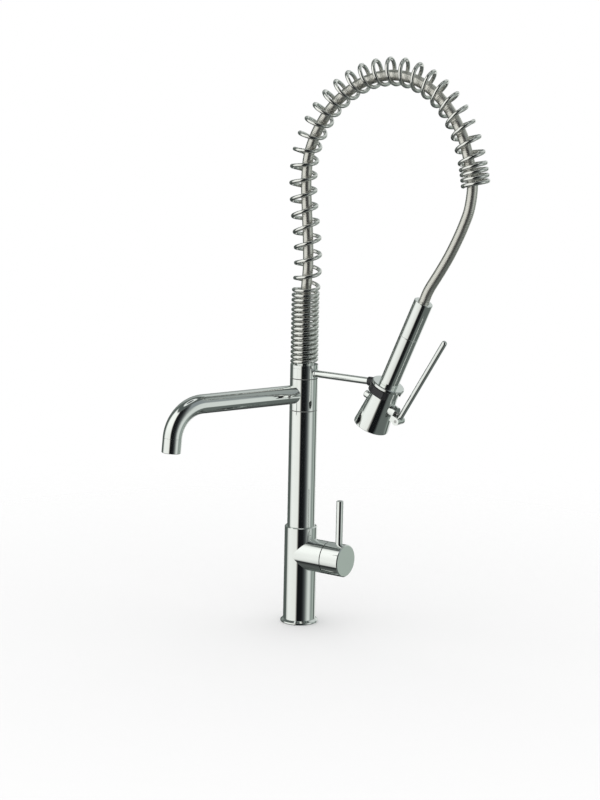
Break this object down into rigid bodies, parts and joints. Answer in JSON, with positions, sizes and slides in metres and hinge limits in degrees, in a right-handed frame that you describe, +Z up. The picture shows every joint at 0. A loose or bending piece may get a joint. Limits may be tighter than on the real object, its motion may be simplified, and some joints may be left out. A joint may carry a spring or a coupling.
{
  "type": "pre rinse faucet",
  "caption": "Tall deck mixer tap with a side pin lever, a swivel spout and a lever-worked hand spray that hangs on a hook arm from a hose inside a sprung arch",
  "frame": {"origin": "centre of the mounting face that stands on the deck", "axes": "+Z up along the column, +X along the side lever housing and the hook arm, -Y towards the user"},
  "size_m": [0.384, 0.2498, 0.8225],
  "materials": {
    "chrome": "bright chrome plate on brass",
    "spring_steel": "polished spring wire",
    "hose": "satin metal hose cover",
    "steel": "satin stainless steel",
    "brass": "turned brass",
    "dark_plastic": "moulded black plastic",
    "pale_plastic": "moulded pale plastic",
    "grey_plastic": "moulded grey plastic",
    "seal_rubber": "black sealing rubber"
  },
  "bodies": {
    "column": {"base_ring": "chrome", "deck_gasket": "seal_rubber", "valve_body": "chrome", "mixing_cartridge": "pale_plastic", "cartridge_seals": "seal_rubber", "cartridge_nut": "brass", "column_tube": "chrome", "riser_pipe": "brass", "swivel_core": "brass", "spout_seals": "seal_rubber", "lower_glide_ring": "grey_plastic", "upper_glide_ring": "grey_plastic", "retaining_clip": "steel", "riser_nipple": "brass"},
    "mixer_lever": {"lever_spindle": "steel", "lever_cap": "chrome", "lever_pin": "chrome", "cap_screw": "steel"},
    "spout": {"spout_collar": "chrome", "spout_tube": "chrome", "spout_screw": "steel", "aerator_shell": "chrome", "aerator_insert": "pale_plastic", "aerator_seal": "seal_rubber"},
    "swing": {"hook_ring": "chrome", "hook_arm": "chrome", "hook_fork": "dark_plastic", "spring_seat": "chrome", "arch_spring": "spring_steel", "spray_hose": "hose", "lower_ferrule": "chrome"},
    "spray": {"spray_body": "chrome", "spray_bell": "chrome", "spray_face": "dark_plastic", "face_screw": "steel", "handle_grip": "chrome", "handle_sleeve": "chrome", "hose_socket": "chrome", "valve_cap": "chrome", "valve_spring": "steel", "lever_bracket": "chrome", "pivot_pin": "steel"},
    "plunger": {"valve_plunger": "steel"},
    "trigger": {"spray_lever": "chrome"}
  },
  "joints": [
    {"name": "mixer_turn", "type": "hinge", "parent": "column", "child": "mixer_lever", "pos_m": [0, 0, 0.103], "axis": [1, 0, 0], "range_deg": [0, 100]},
    {"name": "spout_swivel", "type": "hinge", "parent": "column", "child": "spout", "pos_m": [0, 0, 0.338], "axis": [0, 0, 1], "range_deg": [-120, 30]},
    {"name": "hook_swivel", "type": "hinge", "parent": "column", "child": "swing", "pos_m": [0, 0, 0.3697], "axis": [0, 0, 1], "range_deg": [-45, 45]},
    {"name": "spray_unhook", "type": "slide", "parent": "swing", "child": "spray", "axis": [0.9143, 0, -0.4051], "range_m": [0, 0.07], "deforming": ["spray_hose"]},
    {"name": "lever_squeeze", "type": "hinge", "parent": "spray", "child": "trigger", "pos_m": [0.16281, 0, 0.31912], "axis": [0, -1, 0], "range_deg": [0, 14], "stiffness_Nm_per_rad": 2, "springref_deg": -8.59},
    {"name": "valve_stroke", "type": "slide", "parent": "spray", "child": "plunger", "axis": [-0.9143, 0, 0.4051], "range_m": [0, 0.002], "deforming": ["valve_spring"]}
  ],
  "couplings": [
    {"joint": "valve_stroke", "follows": "lever_squeeze", "m_per_rad": 0.0075}
  ]
}
